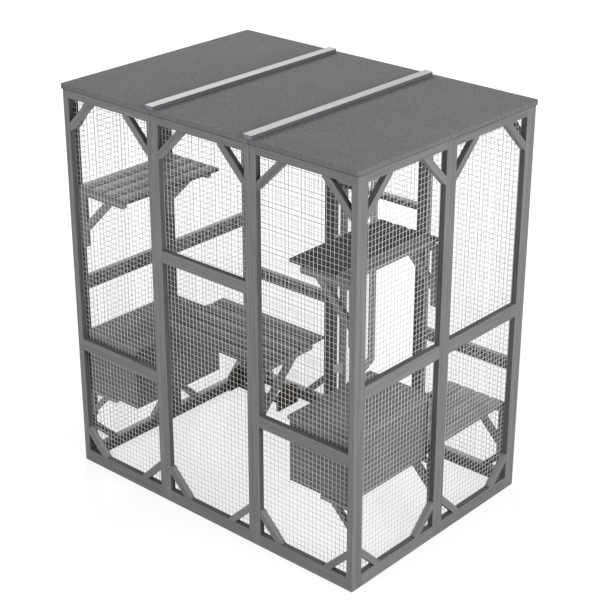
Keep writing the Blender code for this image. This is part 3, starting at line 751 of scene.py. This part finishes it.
def shelves():
    """The four slatted shelves."""
    # Slats get painted light, but painted shade on the upper right shelf save its slat at the wall
    high, low = UPPER_SHELF_Z, LOWER_SHELF_Z
    places = (CORNER_BRACKET_Y, MID_BRACKET_Y)
    span = (-INNER_Y + CORNER_SETBACK, UPPER_SHELF_END)
    shelf("upper_left_shelf", "left", high, places, span, SHELF_SETBACK, LEFT_SLAT_PAINTED_LIGHT)
    shelf_arguments = {"stain_and_painted_light": SHADED_SLAT_PAINTED_SHADE, "first": SUNLIT_SLAT_PAINTED_LIGHT}
    shelf("upper_right_shelf", "right", high, places, span, UPPER_RIGHT_SETBACK, **shelf_arguments)
    places = (LOWER_SHELF_START + ARM_WIDTH / 2, -CORNER_BRACKET_Y)
    span = (LOWER_SHELF_START, INNER_Y - CORNER_SETBACK)
    shelf("lower_right_shelf", "right", low, places, span, LOWER_RIGHT_SETBACK, LOWER_SLAT_PAINTED_LIGHT)
    half = BAY / 2 + FRONT_SHELF_OVERHANG
    places, span = (-BAY / 2, BAY / 2), (-half, half)
    shelf_arguments = {"stain_and_painted_light": FRONT_SLAT_PAINTED_LIGHT, "sizes": FRONT_SIZES}
    shelf("front_shelf", "front", FRONT_SHELF_Z, places, span, SHELF_SETBACK, **shelf_arguments)


# Houses, roof and stand, from the CAD shapes

WELD = 0.0001
FLAT = math.radians(1)
SHARP = math.radians(50)
SMOOTH = math.radians(35)
STEEP = 0.7
HOUSE_EASE = 0.0015
LID_EASE = 0.003
ROOF_EASE = 0.004
BOARD_EASE = 0.0015
STAND_EASE = 0.003
CAP = 0.0018
CAP_EASE = 0.0008
BATTEN_INSET = 0.0015
BATTEN_END_TONE = 1.9


def dressed(name, material, ease, body="enclosure"):
    """Stands in for a CAD node with a copy of its shape that has eased edges and grain."""
    shape = bmesh.new()
    shape.from_mesh(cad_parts[name].data)
    bmesh.ops.remove_doubles(shape, verts=shape.verts, dist=WELD)
    bmesh.ops.dissolve_limit(shape, angle_limit=FLAT, verts=shape.verts, edges=shape.edges)
    sharp = [edge for edge in shape.edges if edge.calc_face_angle(0) > SHARP]
    bmesh.ops.bevel(shape, geom=sharp, offset=ease, segments=3, profile=0.5, affect="EDGES")
    grain = shape.loops.layers.float_vector.new("grain")
    tone = shape.faces.layers.float_color.new("tone")
    shape.normal_update()
    for face in shape.faces:
        face[tone] = (1, 1, 1, 1)
        normal = face.normal
        upright = abs(normal.z) < STEEP
        axis = Vector(AXES["y" if abs(normal.x) > STEEP or not upright else "x"])
        across = Vector(AXES["z" if upright else "x"])
        third = axis.cross(across)
        for loop in face.loops:
            place = loop.vert.co
            loop[grain] = (place @ axis, place @ across, place @ third)
    mesh = bpy.data.meshes.new(name + "_dressed")
    shape.to_mesh(mesh)
    shape.free()
    mesh.materials.clear()
    mesh.materials.append(material)
    mesh.shade_smooth()
    mesh.set_sharp_from_angle(angle=SMOOTH)
    item = bpy.data.objects.new(name + "_dressed", mesh)
    scene.collection.objects.link(item)
    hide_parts(name)
    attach(item, body)


def end_shade(face):
    """The end of a batten has a paler tone than its sides."""
    return BATTEN_END_TONE if abs(face.normal.y) > FACING else 1.0


def batten(side):
    """A dark batten with a pale cap strip, over a roof seam."""
    name = f"roof_batten_{side}"
    low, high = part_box(name)
    inset = BATTEN_INSET
    middle = (low.y + high.y) / 2
    dark = Timbers(name + "_base", Matrix.Identity(4))
    outline = rectangle(low.x + inset, high.x - inset, low.z, high.z - CAP)
    dark.add(outline, high.y - low.y - 2 * inset, middle, "y", end_shade, edge=1.0)
    dark.finish(BATTEN_MAT, "enclosure", "timber", name)
    pale = Timbers(name + "_cap", Matrix.Identity(4))
    outline = rectangle(low.x, high.x, high.z - CAP, high.z)
    pale.add(outline, high.y - low.y, middle, "y", ease=CAP_EASE, edge=1.0)
    pale.finish(CAP_MAT, "enclosure", "batten", name)


def repaint(name, material):
    """Gives a CAD node that keeps its shape a better material."""
    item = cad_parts[name]
    item.data.materials.clear()
    item.data.materials.append(material)


# Floor, light and camera

FLOOR_SIZE = 30.0
FLOOR_DROP = 0.0005
FLOOR_TONE = 0.86
FLOOR_SEEN = 0.30
FLOOR_GLOW = (0.775, 0.925)
FLOOR_GLOW_REACH = (1.4, 4.5)
WORLD_FILL = 0.30
AIM_HEIGHT = 0.9

# Name, place, side of its square and power
LAMPS = (
    ("key_right", (6.5, -1.2, 3.4), 3.0, 300.0),
    ("key_front", (-1.5, -6.8, 3.0), 3.0, 165.0),
    ("key_back", (-6.0, 4.5, 6.3), 2.0, 310.0),
    ("fill_rear", (1.5, 7.0, 2.6), 3.0, 90.0),
    ("top", (0.5, -0.5, 7.0), 4.0, 70.0),
)

PHOTO_SIDE = 600
PHOTO_FOCAL = 1593.26
SENSOR = 36.0
CAMERA_PLACE = (4.70390957, -5.26872466 + MIDDLE_Y, 4.20576311)
CAMERA_AZIMUTH = math.radians(41.597)
CAMERA_ELEVATION = math.radians(24.6466)


def ground():
    """A pale matte floor. To the camera it shows a faint shadow and a glow that grows outwards."""
    mesh = bpy.data.meshes.new("floor")
    half = FLOOR_SIZE / 2
    corners = [(-half, -half, 0), (half, -half, 0), (half, half, 0), (-half, half, 0)]
    mesh.from_pydata(corners, [], [(0, 1, 2, 3)])
    floor = bpy.data.objects.new("floor", mesh)
    floor.location.z = -FLOOR_DROP
    scene.collection.objects.link(floor)
    material = bpy.data.materials.new("floor")
    material.use_nodes = True
    tree = material.node_tree
    tree.nodes.clear()
    output = tree.nodes.new("ShaderNodeOutputMaterial")
    matte = add(tree, "ShaderNodeBsdfDiffuse", sockets={"Color": (*grey(FLOOR_TONE), 1)})
    faint = add(tree, "ShaderNodeBsdfDiffuse", sockets={"Color": (*grey(FLOOR_SEEN), 1)})
    glow = add(tree, "ShaderNodeEmission", sockets={"Color": (1, 1, 1, 1)})
    place = tree.nodes.new("ShaderNodeTexCoord").outputs["Object"]
    away = add(tree, "ShaderNodeVectorMath", operation="LENGTH")
    near, far = FLOOR_GLOW_REACH
    low, high = FLOOR_GLOW
    values = {"From Min": near, "From Max": far, "To Min": low, "To Max": high}
    rise = add(tree, "ShaderNodeMapRange", sockets=values)
    tree.links.new(place, away.inputs[0])
    tree.links.new(away.outputs["Value"], rise.inputs["Value"])
    tree.links.new(rise.outputs[0], glow.inputs["Strength"])
    joined = tree.nodes.new("ShaderNodeAddShader")
    tree.links.new(faint.outputs[0], joined.inputs[0])
    tree.links.new(glow.outputs[0], joined.inputs[1])
    path = tree.nodes.new("ShaderNodeLightPath")
    shown = tree.nodes.new("ShaderNodeMixShader")
    tree.links.new(path.outputs["Is Camera Ray"], shown.inputs["Fac"])
    tree.links.new(matte.outputs[0], shown.inputs[1])
    tree.links.new(joined.outputs[0], shown.inputs[2])
    tree.links.new(shown.outputs[0], output.inputs["Surface"])
    mesh.materials.append(material)


def surroundings():
    """A world that is white to the camera and in reflections, and a soft fill for the rest."""
    world = bpy.data.worlds.new("studio")
    scene.world = world
    world.use_nodes = True
    tree = world.node_tree
    tree.nodes.clear()
    output = tree.nodes.new("ShaderNodeOutputWorld")
    values = {"Color": (1, 1, 1, 1), "Strength": WORLD_FILL}
    fill = add(tree, "ShaderNodeBackground", sockets=values)
    values = {"Color": (1, 1, 1, 1), "Strength": 1.0}
    white = add(tree, "ShaderNodeBackground", sockets=values)
    path = tree.nodes.new("ShaderNodeLightPath")
    seen = add(tree, "ShaderNodeMath", operation="MAXIMUM")
    mix = tree.nodes.new("ShaderNodeMixShader")
    tree.links.new(path.outputs["Is Camera Ray"], seen.inputs[0])
    tree.links.new(path.outputs["Is Glossy Ray"], seen.inputs[1])
    tree.links.new(seen.outputs[0], mix.inputs["Fac"])
    tree.links.new(fill.outputs[0], mix.inputs[1])
    tree.links.new(white.outputs[0], mix.inputs[2])
    tree.links.new(mix.outputs[0], output.inputs["Surface"])


def lamps():
    """Square lamps round the part, aimed at its middle."""
    middle = Vector((0, MIDDLE_Y, 0))
    for name, place, side, power in LAMPS:
        lamp = bpy.data.lights.new(name, "AREA")
        lamp.shape = "SQUARE"
        lamp.size = side
        lamp.energy = power
        item = bpy.data.objects.new(name, lamp)
        item.location = Vector(place) + middle
        aim = Vector((0, MIDDLE_Y, AIM_HEIGHT)) - item.location
        item.rotation_euler = aim.to_track_quat("-Z", "Y").to_euler()
        scene.collection.objects.link(item)


def camera():
    """The photo's viewpoint, found from the posts, rails and roof edges in it."""
    lens = bpy.data.cameras.new("camera")
    lens.sensor_width = SENSOR
    lens.lens = SENSOR * PHOTO_FOCAL / PHOTO_SIDE
    lens.clip_start, lens.clip_end = 0.1, 100.0
    item = bpy.data.objects.new("camera", lens)
    item.location = CAMERA_PLACE
    azimuth, elevation = CAMERA_AZIMUTH, CAMERA_ELEVATION
    back = Vector(
        (
            math.sin(azimuth) * math.cos(elevation),
            -math.cos(azimuth) * math.cos(elevation),
            math.sin(elevation),
        )
    )
    item.rotation_euler = (-back).to_track_quat("-Z", "Y").to_euler()
    scene.collection.objects.link(item)
    scene.camera = item


camera()
walls()
shelves()
for wall in ("left", "right"):
    house = f"{wall}_house"
    dressed(house + "_box", HOUSE_MAT, HOUSE_EASE)
    dressed(house + "_lid", LID_MAT, LID_EASE)
    house_bracket(house + "_bracket_near", wall, CORNER_BRACKET_Y)
    house_bracket(house + "_bracket_far", wall, MID_BRACKET_Y)
for bay in ("left", "middle", "right"):
    dressed(f"roof_panel_{bay}", FELT_MAT, ROOF_EASE)
batten("left")
batten("right")
dressed("stand_end_left", BROWN_MAT, BOARD_EASE)
dressed("stand_end_right", BROWN_MAT, BOARD_EASE)
dressed("stand_frame", BLACK_MAT, STAND_EASE)
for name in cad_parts:
    if "hinge" in name or name.startswith("bolt"):
        repaint(name, STEEL_MAT)
ground()
surroundings()
lamps()
scene.view_settings.view_transform = "Standard"
